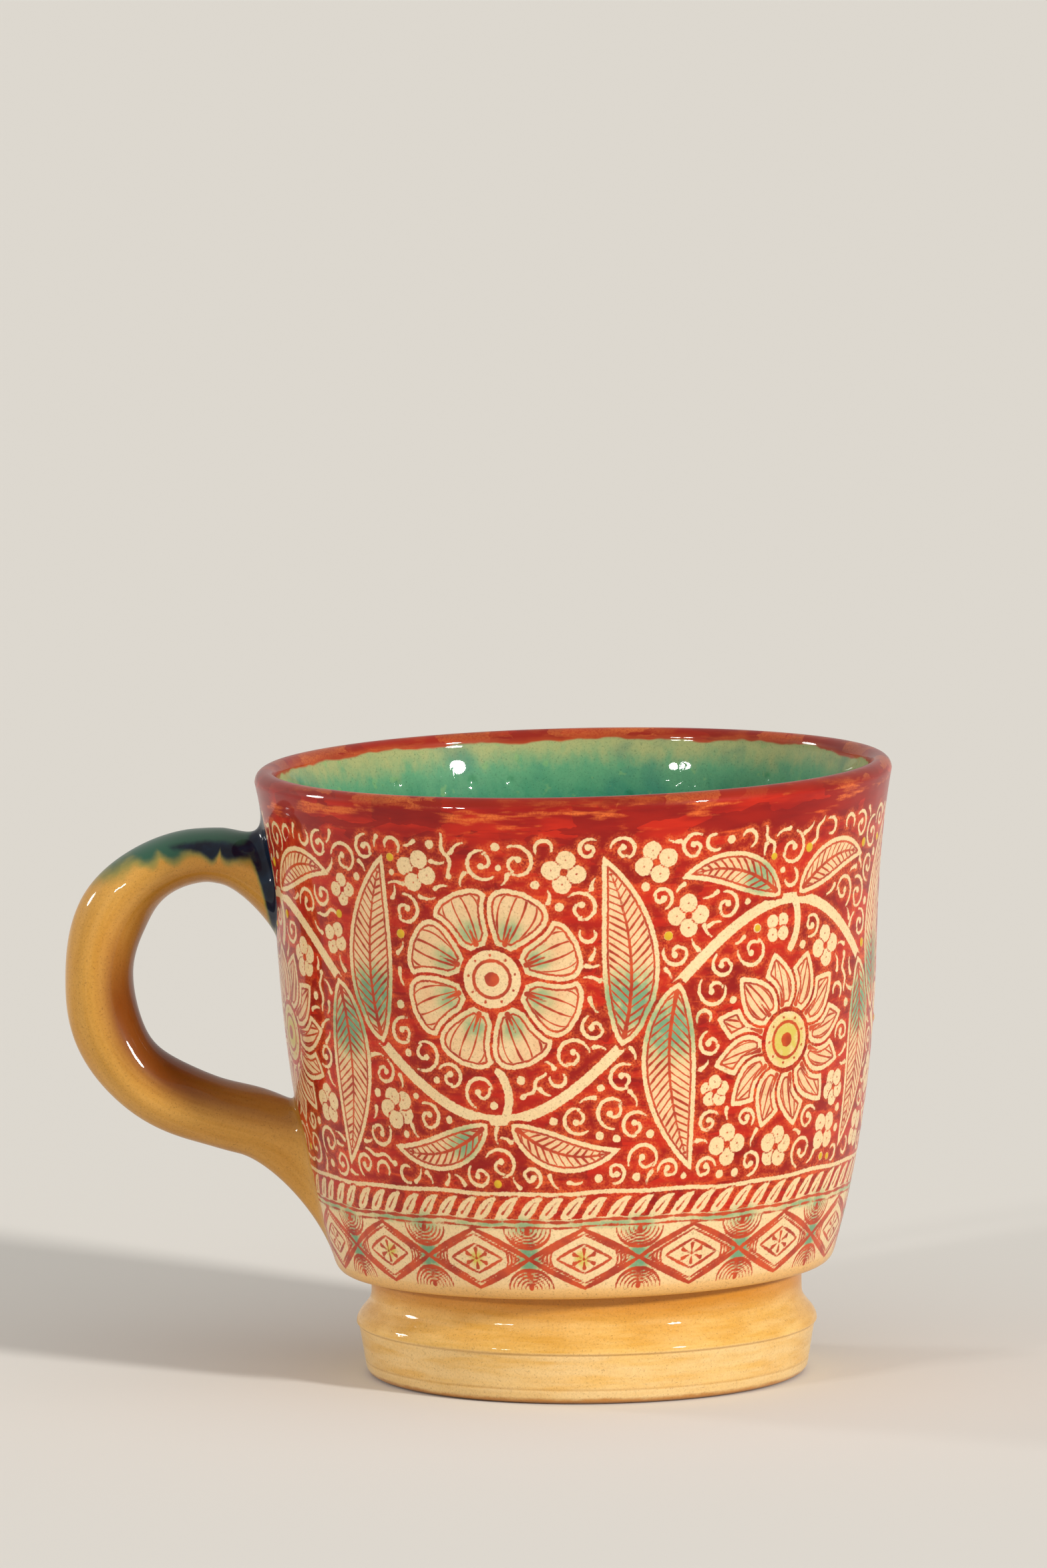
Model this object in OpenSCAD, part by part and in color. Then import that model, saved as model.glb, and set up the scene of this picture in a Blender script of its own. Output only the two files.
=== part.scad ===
// Hand-thrown clay mug on a turned pedestal foot, with one pulled handle.
// Millimetres. The origin is the centre of the foot's rest face, +Z is up, and the handle points to -X.

/* [Cup] */
// Outer diameter over the lip
rim_d = 90; // [80:0.5:100]
// Height from the cup's underside to the crest of the lip
cup_h = 71.8; // [64:0.1:88]
// Outer diameter at the middle of the wall
waist_d = 84.7; // [76:0.1:92]
// Height of the waist above the underside
waist_h = 45.3; // [38:0.1:54]
// Outer diameter at the top of the rounded bottom corner
base_d = 71; // [66:0.1:76]
// Thickness of the rounded lip
lip_t = 3.3; // [2.6:0.1:4.2]
// Wall thickness at the waist
wall_t = 3.8; // [3:0.1:5]
// Wall thickness low down, where the wall turns into the floor
heel_t = 4.4; // [3.6:0.1:6]
// Thickness of the floor
floor_t = 4.6; // [3.5:0.1:7]
// Rounding of the outer bottom corner
corner_r = 1.7; // [1:0.1:3]
// Rise of the trimmed underside from the foot's neck to the corner
underside_rise = 0.3; // [0.1:0.1:1.5]
// Height of the hollow turn between wall and floor inside
inner_turn_h = 10.5; // [6:0.5:14]
// Width of the same turn
inner_turn_w = 11.5; // [6:0.5:16]

/* [Hand-made set] */
// Lean of the cup over its level foot, towards the handle, in degrees
cup_lean = 0.9; // [0:0.1:2]
// How far the cup is luted off the foot's centre, towards the handle
cup_set_off = 0.2; // [0:0.05:1]

/* [Green lining] */
// Thickness of the glaze lining
glaze_t = 0.4; // [0.3:0.05:0.8]
// Bare lip above the lining, measured down from the crest
lining_drop = 3.4; // [2.5:0.1:8]

/* [Foot] */
// Height of the foot under the cup
foot_h = 15.1; // [12.4:0.1:20]
// Diameter of the neck under the cup
neck_d = 61; // [57:0.1:64]
// Diameter over the edge of the roll
roll_d = 65.3; // [64.4:0.1:69]
// Height of the roll's edge above the rest face
roll_z = 7.4; // [5:0.1:8]
// Height of the roll's sloping shoulder, from its edge up to the neck
shoulder_h = 3.4; // [2:0.1:4]
// Step under the roll's edge
roll_step = 0.35; // [0.2:0.05:0.8]
// Diameter above the worn bottom edge
heel_d = 62.8; // [60:0.1:63]
// Rounding of the bottom edge
edge_r = 1.6; // [0.6:0.1:2]
// Width of the ring that the mug stands on
rest_w = 3.4; // [2.4:0.1:5]
// Widening of the hollow from its roof to the rest face
bore_flare = 0.5; // [0:0.1:1.5]
// Rounding between the hollow and the rest face
bore_round = 0.6; // [0.3:0.1:1]

/* [Handle] */
// Height above the cup's underside where the upper arm meets the wall
top_root_z = 55.4; // [52:0.1:58]
// Rise of the upper arm out of the wall, in degrees
top_root_angle = 46; // [35:1:52]
// Height of the outermost point of the loop
bow_z = 42.4; // [39:0.1:46]
// Distance from the wall to the middle of the coil at that point
bow_reach = 25.5; // [22:0.1:32]
// Height where the lower arm meets the wall
low_root_z = 19.3; // [17:0.1:24]
// Rise of the lower arm out of the wall, in degrees
low_root_angle = 21; // [12:1:28]
// Thickness of the coil in the plane of the loop
coil_t = 9.8; // [8:0.1:12]
// Thickness of the coil at the top of the arch, where it was pulled thinner
arch_t = 7.5; // [6.5:0.1:9.5]
// Thickness of the coil where it leaves the wall at the top
root_t = 9.4; // [7:0.1:11]
// Width of the coil across the loop
coil_w = 12.2; // [10:0.1:14]
// Width of the coil at the top of the arch
arch_w = 13.4; // [11:0.1:15]

/* [Handle joints] */
// Reach of the upper collar along the arm, from the wall
collar_reach = 7; // [5:0.1:9]
// Spread of the collar up and down the wall
collar_spread = 3.8; // [2.4:0.1:4.6]
// Spread of the collar to each side
collar_side = 2.4; // [1.2:0.1:3.5]
// Thickness of the wiped tongue just under the lower arm
tongue_t = 4.3; // [3:0.1:5]
// Half width of the tongue at the lower arm
tongue_w = 8.2; // [7.2:0.1:9.5]
// Half width of the tongue at its lower end
tongue_end_w = 4.6; // [3.5:0.1:6]
// Height of the tongue's lower end above the underside
tongue_end_z = 2.4; // [2.2:0.1:5]
// Cover of the tongue above the lower arm
tongue_cover = 1.9; // [1:0.1:3]

/* [Hidden] */

$fn = 240;

// Steps of the curved stretches
wall_steps = 14;
lip_steps = 8;
crest_steps = 10;
turn_steps = 8;
corner_steps = 5;
roll_steps = 8;
edge_steps = 4;
spine_steps = 22;
ring_sides = 24;
collar_steps = 8;
tongue_rows = 18;
tongue_columns = 12;

// Length by which a cutter or a buried end runs past its surface
overrun = 0.5;
// Depth of the tongue's side edges below the wall's surface
tongue_sink = 0.25;

// Radii worked out from the diameters
rim_r = rim_d / 2;
waist_r = waist_d / 2;
base_r = base_d / 2;
neck_r = neck_d / 2;
roll_r = roll_d / 2;
heel_r = heel_d / 2;
lip_r = lip_t / 2;

// Leans of the wall, outward run per unit of height
base_slope_share = 0.31;
waist_slope_share = 0.045;
lip_slope_share = 0.2;

// Reach of the curve handles, in shares of the stretch that each one shapes
base_pull_share = 0.3;
waist_pull_share = 0.36;
flare_pull_share = 0.5;
lip_pull_share = 0.2;
round_pull_share = 0.55;

// Heights along the wall
corner_z = underside_rise + corner_r;
lip_z = cup_h - lip_r;
lower_run = waist_h - corner_z;
upper_run = lip_z - waist_h;

// A point and a direction of the wall are [radius, height] pairs
function bezier(a, b, c, d, steps, first = 0) = [
    for (i = [first:steps]) let (t = i / steps)
        pow(1 - t, 3) * a + 3 * t * pow(1 - t, 2) * b + 3 * t * t * (1 - t) * c + pow(t, 3) * d
];

// Outer side of the cup, from the neck of the foot up to the lip
corner_foot = [base_r - corner_r, underside_rise];
corner_top = [base_r, corner_z];
waist = [waist_r, waist_h];
lip_side = [rim_r, lip_z];
corner_curve = bezier(
    corner_foot,
    corner_foot + [corner_r, underside_rise * corner_r / (base_r - neck_r)] * round_pull_share,
    corner_top - [base_slope_share, 1] * corner_r * round_pull_share,
    corner_top, corner_steps);
lower_curve = bezier(
    corner_top,
    corner_top + [base_slope_share, 1] * lower_run * base_pull_share,
    waist - [waist_slope_share, 1] * lower_run * waist_pull_share,
    waist, wall_steps, 1);
upper_curve = bezier(
    waist,
    waist + [waist_slope_share, 1] * upper_run * flare_pull_share,
    lip_side - [lip_slope_share, 1] * upper_run * lip_pull_share,
    lip_side, lip_steps, 1);
outer_side = concat([[0, 0], [neck_r, 0]], corner_curve, lower_curve, upper_curve);

// Rounded crest, from the outer to the inner side of the lip
crest_curve = [
    for (i = [1:crest_steps]) let (turn = 180 * i / crest_steps)
        [rim_r - lip_r + lip_r * cos(turn), lip_z + lip_r * sin(turn)]
];

// Inner side, from the lip down to the middle of the floor
inner_lip = [rim_r - lip_t, lip_z];
inner_waist = [waist_r - wall_t, waist_h];
turn_top = [wall_radius(floor_t + inner_turn_h) - heel_t, floor_t + inner_turn_h];
turn_foot = [turn_top[0] - inner_turn_w, floor_t];
turn_drop = waist_h - turn_top[1];
inner_upper = bezier(
    inner_lip,
    inner_lip - [lip_slope_share, 1] * upper_run * lip_pull_share,
    inner_waist + [waist_slope_share, 1] * upper_run * flare_pull_share,
    inner_waist, lip_steps, 1);
inner_lower = bezier(
    inner_waist,
    inner_waist - [waist_slope_share, 1] * turn_drop * waist_pull_share,
    turn_top + [base_slope_share, 1] * turn_drop * base_pull_share,
    turn_top, wall_steps, 1);
inner_turn = bezier(
    turn_top,
    turn_top - [base_slope_share, 1] * inner_turn_h * round_pull_share,
    turn_foot + [1, 0] * inner_turn_w * round_pull_share,
    turn_foot, turn_steps, 1);
inner_side = concat(inner_upper, inner_lower, inner_turn);

// Outer radius of the wall at a height
function wall_radius(z) = lookup(z, [for (p = concat(corner_curve, lower_curve, upper_curve)) [p[1], p[0]]]);

// Frame of the leaning cup: its origin is the centre of the cup's underside
module seated() {
    translate([-cup_set_off, 0, foot_h]) rotate([0, -cup_lean, 0]) children();
}

// The cup's outer form without its hollow, carried on above the lip, which trims what is luted to it
plug_top_z = cup_h + coil_w;
module cup_plug() {
    rotate_extrude() polygon(concat(outer_side, [[rim_r, plug_top_z], [0, plug_top_z]]));
}

// Thrown cup: trimmed underside, tapering wall, lip opened outward, rounded crest
module cup_body() {
    color("firebrick") seated()
        rotate_extrude() polygon(concat(outer_side, crest_curve, inner_side, [[0, floor_t]]));
}

// Inward normal of a curve at one of its points
function curve_normal(points, i) =
    let (
        ahead = points[min(i + 1, len(points) - 1)],
        behind = points[max(i - 1, 0)],
        run = ahead - behind
    )
    [run[1], -run[0]] / norm(run);

// Glaze lining, a skin of even thickness on the inner side and the floor
lining_seat = concat(
    [for (p = inner_side) if (p[1] < cup_h - lining_drop) p],
    [[0, floor_t]]);
lining_face = concat(
    [for (i = [0:len(lining_seat) - 2]) lining_seat[i] + curve_normal(lining_seat, i) * glaze_t],
    [[0, floor_t + glaze_t]]);
module green_lining() {
    color("seagreen") seated()
        rotate_extrude() polygon(concat(lining_seat, [
            for (i = [len(lining_face) - 1:-1:0]) lining_face[i]
        ]));
}

// Turned foot: neck, shoulder swelling out to a sharp-edged roll, tapering band, worn bottom edge
rest_outer_r = heel_r - edge_r;
bore_r = rest_outer_r - rest_w;
roll_top = [neck_r, roll_z + shoulder_h];
roll_edge = [roll_r, roll_z];
// Reach of the shoulder's curve handles at the neck and at the edge, in shares of the shoulder
shoulder_pull_shares = [0.3, 0.4];
roll_curve = bezier(
    roll_top,
    roll_top + [(roll_r - neck_r) * shoulder_pull_shares[0], -shoulder_h * shoulder_pull_shares[0]],
    roll_edge + [0, shoulder_h * shoulder_pull_shares[1]],
    roll_edge, roll_steps);
edge_curve = bezier(
    [heel_r, edge_r],
    [heel_r, edge_r * (1 - round_pull_share)],
    [heel_r - edge_r * (1 - round_pull_share), 0],
    [rest_outer_r, 0], edge_steps);
foot_top_z = foot_h + neck_r * sin(cup_lean) + overrun;
module foot_ring() {
    color("burlywood") difference() {
        rotate_extrude() polygon(concat(
            [[neck_r, foot_top_z]],
            roll_curve,
            [[roll_r - roll_step, roll_z - roll_step]],
            edge_curve,
            [[bore_r + bore_round, 0], [bore_r, bore_round], [bore_r - bore_flare, foot_top_z]]));
        seated() cup_plug();
    }
}

// Middle line of the handle, in the cup's frame: [x, z] pairs from the upper to the lower root
top_heading = [-cos(top_root_angle), sin(top_root_angle)];
low_heading = [-cos(low_root_angle), sin(low_root_angle)];
// Depth of the roots under the wall's surface, in shares of its radius
root_sink_share = 0.03;
top_root = [-wall_radius(top_root_z) * (1 - root_sink_share), top_root_z];
low_root = [-wall_radius(low_root_z) * (1 - root_sink_share), low_root_z];
bow = [-wall_radius(bow_z) - bow_reach, bow_z];
// Reach of the loop's curve handles, at the roots in shares of the bow's reach
// and at the bow in shares of the drop to each root
top_pull_share = 0.5;
arch_pull_share = 1.28;
low_pull_share = 0.46;
belly_pull_share = 0.83;
upper_arm = bezier(
    top_root,
    top_root + top_heading * bow_reach * top_pull_share,
    bow + [0, top_root_z - bow_z] * arch_pull_share,
    bow, spine_steps);
lower_arm = bezier(
    bow,
    bow - [0, bow_z - low_root_z] * belly_pull_share,
    low_root + low_heading * bow_reach * low_pull_share,
    low_root, spine_steps, 1);
spine = concat(
    [top_root - top_heading * arch_t],
    upper_arm,
    lower_arm,
    [low_root - low_heading * coil_t / 2]);

// Shares of the upper arm, from its root: where the root's thickness has faded,
// where the coil starts to swell again, and where it has its full thickness
arch_start_share = 0.36;
arch_end_share = 0.4;
full_start_share = 0.8;
function eased(share, from, to) =
    let (held = max(0, min(1, (share - from) / (to - from))))
    held * held * (3 - 2 * held);
function swell(i) = eased(i / spine_steps, arch_end_share, full_start_share);
function root_swell(i) = 1 - eased(i / spine_steps, 0, arch_start_share);

// One oval section of the coil, square to the middle line
function spine_heading(i) =
    let (run = spine[min(i + 1, len(spine) - 1)] - spine[max(i - 1, 0)]) run / norm(run);
function coil_ring(i) =
    let (
        heading = spine_heading(i),
        side = [-heading[1], heading[0]],
        half_t = (arch_t + (coil_t - arch_t) * swell(i) + (root_t - arch_t) * root_swell(i)) / 2,
        half_w = (arch_w + (coil_w - arch_w) * swell(i)) / 2
    )
    [for (k = [0:ring_sides - 1]) let (
        turn = 360 * k / ring_sides,
        across = spine[i] + side * half_t * cos(turn)
    ) [across[0], half_w * sin(turn), across[1]]];

// Closed skin over a row of rings with equal numbers of points
module loft(rings) {
    sides = len(rings[0]);
    last = len(rings) - 1;
    function at(ring, k) = ring * sides + k % sides;
    polyhedron(
        points = [for (ring = rings) for (p = ring) p],
        faces = concat(
            [for (r = [0:last - 1]) for (k = [0:sides - 1]) [at(r, k), at(r + 1, k + 1), at(r + 1, k)]],
            [for (r = [0:last - 1]) for (k = [0:sides - 1]) [at(r, k), at(r, k + 1), at(r + 1, k + 1)]],
            [[for (k = [sides - 1:-1:0]) at(0, k)]],
            [[for (k = [0:sides - 1]) at(last, k)]]
        ),
        convexity = 6
    );
}

module coil() {
    loft([for (i = [0:len(spine) - 1]) coil_ring(i)]);
}

// Pulled handle, cut off along the wall that it is luted to
module handle() {
    color("goldenrod") seated() difference() {
        coil();
        cup_plug();
    }
}

// Where the upper arm is at a distance from the cup's axis
function arm_height(x) = lookup(x, [
    for (i = [spine_steps:-1:0]) [upper_arm[i][0], upper_arm[i][1]]
]);

// Upper collar: clay wiped round the root, as upright ovals that spread towards the wall
collar_foot_x = top_root[0] + wall_t / 2;
collar_tip_x = -wall_radius(top_root_z) - collar_reach;
// Loss of section along the collar, in shares of the arm's, which sinks its tip into the arm
collar_bury_share = 0.06;
arm_half_h = root_t / 2 / cos(top_root_angle);
function collar_ring(i) =
    let (
        along = i / collar_steps,
        x = collar_foot_x + (collar_tip_x - collar_foot_x) * along,
        fade = pow(1 - along, 3),
        settle = 1 - collar_bury_share * along,
        half_h = (arm_half_h + (arch_t / 2 - arm_half_h) * along) * settle + collar_spread * fade,
        half_w = arch_w / 2 * settle + collar_side * fade
    )
    [for (k = [0:ring_sides - 1]) let (turn = 360 * k / ring_sides)
        [x, -half_w * sin(turn), arm_height(x) + half_h * cos(turn)]];

module upper_collar() {
    color("darkslategray") seated() difference() {
        loft([for (i = [0:collar_steps]) collar_ring(i)]);
        coil();
        cup_plug();
    }
}

// Lower tongue: the handle's own clay wiped down the wall, thinning out above the bottom corner
tongue_top_z = low_root_z + coil_t / 2 + tongue_cover;
tongue_full_z = low_root_z - coil_t / 2;
// Power by which the tongue thins out towards its lower end
tongue_fade = 1.6;
function tongue_thickness(z) =
    z < tongue_full_z
        ? tongue_t * pow(max(0, (z - tongue_end_z) / (tongue_full_z - tongue_end_z)), tongue_fade)
        : tongue_t * (1 - pow((z - tongue_full_z) / (tongue_top_z - tongue_full_z), 2));
function tongue_half_width(z) =
    z < low_root_z
        ? tongue_end_w + (tongue_w - tongue_end_w) * (z - tongue_end_z) / (low_root_z - tongue_end_z)
        : tongue_w * sqrt(max(0, 1 - pow((z - low_root_z) / (tongue_top_z - low_root_z + overrun), 2)));

// A row across the tongue: out along the wall on one side, back inside the wall on the other
function tongue_ring(i) =
    let (
        z = tongue_end_z + (tongue_top_z - tongue_end_z) * i / tongue_rows,
        r = wall_radius(z),
        buried = r - wall_t / 2,
        spread = asin(tongue_half_width(z) / r),
        thick = tongue_thickness(z)
    )
    concat(
        [for (k = [0:tongue_columns]) let (
            across = 2 * k / tongue_columns - 1,
            swelled = r + (thick + tongue_sink) * (1 - across * across) - tongue_sink
        ) [-swelled * cos(spread * across), swelled * sin(spread * across), z]],
        [for (k = [tongue_columns:-1:0]) let (across = 2 * k / tongue_columns - 1)
            [-buried * cos(spread * across), buried * sin(spread * across), z]]);

module lower_tongue() {
    color("darkgoldenrod") seated() difference() {
        loft([for (i = [0:tongue_rows]) tongue_ring(i)]);
        coil();
        cup_plug();
    }
}

cup_body();
foot_ring();
handle();
upper_collar();
lower_tongue();
green_lining();
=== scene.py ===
"""Hand-thrown clay mug with underglaze painting, dressed round its CAD frame."""
from math import comb, cos, pi, radians, sin, tau

import bpy
import numpy as np
from mathutils import Matrix, Vector
from mathutils.bvhtree import BVHTree


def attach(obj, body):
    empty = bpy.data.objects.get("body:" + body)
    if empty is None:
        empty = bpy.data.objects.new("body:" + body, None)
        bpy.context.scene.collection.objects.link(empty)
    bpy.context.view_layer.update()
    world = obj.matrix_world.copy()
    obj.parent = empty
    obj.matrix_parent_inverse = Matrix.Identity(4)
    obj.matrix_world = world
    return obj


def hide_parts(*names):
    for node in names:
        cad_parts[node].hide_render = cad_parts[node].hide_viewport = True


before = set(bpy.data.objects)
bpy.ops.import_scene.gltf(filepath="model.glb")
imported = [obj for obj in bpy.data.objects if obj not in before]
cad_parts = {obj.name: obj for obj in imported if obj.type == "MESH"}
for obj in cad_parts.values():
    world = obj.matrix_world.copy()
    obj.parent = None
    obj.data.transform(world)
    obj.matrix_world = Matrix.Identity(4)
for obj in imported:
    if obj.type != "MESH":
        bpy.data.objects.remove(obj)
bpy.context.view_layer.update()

# Millimetres throughout, turned into metres where a mesh is made
MM = 0.001

# The leaning cup's own frame: its origin is the centre of the cup's underside
CUP_LEAN = radians(0.9)
CUP_SEAT = Vector((-0.2, 0, 15.1))
CUP = Matrix.Translation(CUP_SEAT) @ Matrix.Rotation(-CUP_LEAN, 4, "Y")
LEVEL = Matrix.Identity(4)

# Sizes of the cup, in its own frame
CUP_H = 71.8
RIM_R = 45
LIP_T = 3.3
LIP_R = LIP_T / 2
LIP_Z = CUP_H - LIP_R
HEEL_R, HEEL_Z = 33.0, 2.2
FLOOR_TOP = 5.0

# The green lining: its thickness, and the height over which it thins out under the lip
LINING_T, LINING_FADE = 0.4, 5.0

# Where the cup's own skin ends inside, and how far and how high the lining is tucked behind it
RIM_END = 60.0
TUCK, TUCK_H = 0.06, 0.6

# Heights of the foot's neck and of its two turned grooves, and the grooves' depth and half width
NECK_TOP = 15.1
FOOT_GROOVES = (7.15, 2.1)
GROOVE_DEEP, GROOVE_HALF = 0.07, 0.16

# Zones of the painting, as heights up the wall, and the columns of its grid
FIELD_LOW = 16.4
FIELD_TOP = 65.8
COLUMNS = 1080

# Radius at which the motifs are drawn true to size, and the length of one turn there
PAINT_R = 42.0
TURN = tau * PAINT_R

# Distance that counts as far from every motif, and how far round its outline a motif is drawn in each layer
FAR = 6.0
REACH = {"reserve": FAR, "ink": 1.5, "bead": 1.0}

# Starts of the rays that read the frame: outside the cup, below it and above it
OUT_R, BELOW, ABOVE = 80.0, -20.0, 40.0

# Radius of the small flat disc in which a turned surface ends at its axis
DISC_R = 0.4


def colour(code):
    """Linear colour of a #RRGGBB code."""
    parts = [int(code[i:i + 2], 16) / 255 for i in (1, 3, 5)]
    return tuple(p / 12.92 if p <= 0.04045 else ((p + 0.055) / 1.055) ** 2.4 for p in parts) + (1.0,)


# Shapes read off the frame
def section(node, place):
    """A function that casts rays in the (radius, height) half plane, on the side that faces the viewer."""
    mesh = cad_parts[node].data
    away = place.inverted()
    corners = [away @ (v.co / MM) for v in mesh.vertices]
    tree = BVHTree.FromPolygons(corners, [tuple(p.vertices) for p in mesh.polygons])

    def cast(start, heading):
        hit = tree.ray_cast(Vector((0, -start[0], start[1])), Vector((0, -heading[0], heading[1])))[0]
        if hit is None:
            raise ValueError(f"no surface of {node} at {start}")
        return np.array([-hit.y, hit.z])
    return cast


def outside(cast, heights):
    """Points of the outer side at these heights."""
    return [cast((OUT_R, h), (-1, 0)) for h in heights]


def inside(cast, heights):
    """Points of the inner side at these heights."""
    return [cast((0.0, h), (1, 0)) for h in heights]


# Meshes
def grid_object(name, points, place, values, material, caps=()):
    """A smooth mesh over rows of points that run round. caps are the rows, 0 or -1, to close."""
    rows, columns = points.shape[:2]
    index = np.arange(rows * columns).reshape(rows, columns)
    ahead = np.roll(index, -1, axis=1)
    quads = np.stack([index[:-1], ahead[:-1], ahead[1:], index[1:]], axis=-1).reshape(-1, 4)
    ends = [index[row][::-1 if row == 0 else 1].tolist() for row in caps]
    mesh = bpy.data.meshes.new(name)
    mesh.from_pydata((points.reshape(-1, 3) * MM).tolist(), [], quads.tolist() + ends)
    for label, value in values.items():
        layer = mesh.attributes.new(label, "FLOAT", "POINT")
        layer.data.foreach_set("value", np.broadcast_to(value, (rows, columns)).astype(np.float32).ravel())
    mesh.transform(Matrix.Translation(place.translation * MM) @ place.to_3x3().to_4x4())
    mesh.materials.append(material)
    mesh.shade_smooth()
    mesh.update()
    piece = bpy.data.objects.new(name, mesh)
    bpy.context.scene.collection.objects.link(piece)
    return piece


def turned(profile, columns, swell=0.0):
    """Points of a profile turned round the axis, from the front towards +X. swell adds to the radius."""
    angle = np.arange(columns) * tau / columns
    radius = profile[:, :1] + swell
    height = np.repeat(profile[:, 1:], columns, axis=1)
    return np.stack([radius * np.sin(angle), -radius * np.cos(angle), height], axis=-1)


# Curves
def bezier(points, t):
    """The place at share t along a Bezier curve of any order."""
    order = len(points) - 1
    return sum(comb(order, k) * t ** k * (1 - t) ** (order - k) * points[k] for k in range(order + 1))


def curve(*points, steps=16):
    """Points along a Bezier curve."""
    return bezier(np.asarray(points, float), np.linspace(0, 1, steps + 1)[:, None])


def aim(angle):
    """A step of length 1 at an angle."""
    return np.array([cos(angle), sin(angle)])


def way_along(path):
    """Length along a path at each of its points."""
    return np.concatenate([[0], np.cumsum(np.hypot(*np.diff(path, axis=0).T))])


def eased(value, low, high):
    """Smooth step from 0 at low to 1 at high."""
    held = np.clip((value - low) / (high - low), 0, 1)
    return held * held * (3 - 2 * held)


# Painting: shapes drawn as signed distances in millimetres, positive inside
class Painting:
    """Layers of underglaze painting over a grid of places: across, round the wall, and up the wall."""

    START = dict(reserve=-FAR, ink=-FAR, hatch=0.0, pitch=0.0, green=0.0, ochre=0.0, bead=-FAR)

    # How far past a shape's outline its hatching is kept, so that it holds up to the edge
    HATCH_PAST = 0.3

    def __init__(self, columns, heights):
        self.across = np.arange(columns) * TURN / columns
        self.up = np.asarray(heights, float)
        self.layers = {k: np.full((len(self.up), columns), v) for k, v in self.START.items()}

    def window(self, path, margin):
        """Index of the grid's places near a path, and those places, unrolled next to it."""
        low, high = np.min(path, axis=0) - margin, np.max(path, axis=0) + margin
        middle = (low[0] + high[0]) / 2
        shift = (self.across - middle + TURN / 2) % TURN - TURN / 2
        columns = np.nonzero(np.abs(shift) <= (high[0] - low[0]) / 2)[0]
        rows = np.nonzero((self.up >= low[1]) & (self.up <= high[1]))[0]
        x, y = np.meshgrid(middle + shift[columns], self.up[rows])
        return np.ix_(rows, columns), x, y

    def room(self, x, y):
        """Clear distance round a place to the nearest reserve."""
        column = int(round((x % TURN) / TURN * len(self.across))) % len(self.across)
        row = int(np.argmin(np.abs(self.up - y)))
        return -self.layers["reserve"][row, column]

    def add(self, at, shape, gap=0.5, hatch=None, pitch=0.0):
        """Draws a reserve over what is there, with a line of ground round it."""
        reserve = self.layers["reserve"]
        under = np.minimum(reserve[at], -(shape + gap)) if gap else reserve[at]
        reserve[at] = np.maximum(under, shape)
        if hatch is not None:
            for layer, value in (("hatch", hatch), ("pitch", pitch)):
                self.layers[layer][at] = np.where(shape > -self.HATCH_PAST, value, self.layers[layer][at])
        elif gap:
            self.layers["pitch"][at] = np.where(shape > 0, 0.0, self.layers["pitch"][at])

    def merge(self, layer, at, shape):
        self.layers[layer][at] = np.maximum(self.layers[layer][at], shape)

    def wash(self, layer, x, y, radius, strength=1.0, stretch=1.0):
        """A soft round wash of colour."""
        at, px, py = self.window([(x, y)], radius * 2 * max(stretch, 1))
        reach = np.hypot(px - x, (py - y) / stretch) / radius
        self.merge(layer, at, strength * np.exp(-reach ** 2))


def along(path, x, y):
    """Share of the way along a path, distance from it and side of it (left is 1), and its length."""
    path = np.asarray(path, float)
    steps = np.diff(path, axis=0)
    lengths = np.hypot(*steps.T)
    starts = way_along(path)
    best = np.full(x.shape, 1e9)
    share, side = np.zeros(x.shape), np.zeros(x.shape)
    for (px, py), (dx, dy), length, start in zip(path, steps, lengths, starts):
        t = np.clip(((x - px) * dx + (y - py) * dy) / length ** 2, 0, 1)
        ex, ey = x - px - t * dx, y - py - t * dy
        far = ex * ex + ey * ey
        nearer = far < best
        best = np.where(nearer, far, best)
        share = np.where(nearer, (start + t * length) / starts[-1], share)
        side = np.where(nearer, np.sign(dx * ey - dy * ex), side)
    return share, np.sqrt(best), side, starts[-1]


def depth_in(corners, x, y):
    """Distance from places x, y to a closed outline, positive inside it."""
    best = np.full(x.shape, 1e9)
    within = np.zeros(x.shape, bool)
    for (ax, ay), (bx, by) in zip(corners, np.roll(corners, -1, axis=0)):
        dx, dy = bx - ax, by - ay
        t = np.clip(((x - ax) * dx + (y - ay) * dy) / (dx * dx + dy * dy + 1e-12), 0, 1)
        best = np.minimum(best, (x - ax - t * dx) ** 2 + (y - ay - t * dy) ** 2)
        if ay != by:
            within ^= ((ay > y) != (by > y)) & (x < ax + (y - ay) * dx / dy)
    return np.where(within, 1, -1) * np.sqrt(best)


def stroke(art, layer, path, width, tail=None):
    """A brush stroke: full in the middle, and thinning to its tail width at both ends."""
    at, x, y = art.window(path, REACH[layer])
    share, far, _, _ = along(path, x, y)
    tail = width if tail is None else tail
    half = (tail + (width - tail) * np.sin(pi * np.clip(share, 0, 1)) ** 0.7) / 2
    art.merge(layer, at, half - far)


def drop(art, layer, path, head, tail):
    """A comma stroke: its head at the path's start, thinning all the way to its tail."""
    at, x, y = art.window(path, REACH[layer])
    share, far, _, _ = along(path, x, y)
    art.merge(layer, at, (head + (tail - head) * share ** 0.6) / 2 - far)


def dot(art, layer, x, y, radius):
    at, px, py = art.window([(x, y)], radius + REACH[layer])
    art.merge(layer, at, radius - np.hypot(px - x, py - y))


def pointed(t):
    """Outline of a leaf: half width along it, of a full width of 1 at its widest."""
    return np.sin(pi * np.clip(t, 0, 1) ** 0.8) ** 0.85


def rounded(t):
    """Outline of a petal, narrow at its root and round at its end."""
    t = np.clip(t, 1e-6, 1)
    return t ** 0.8 * np.sqrt(1 - t ** 3) / 0.61


# Steps along a leaf or petal, the lean of its chevrons, and their gap as a share of their spacing
BLADE_STEPS, CHEVRON_LEAN, CHEVRON_GAP = 24, 0.9, 0.75


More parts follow.
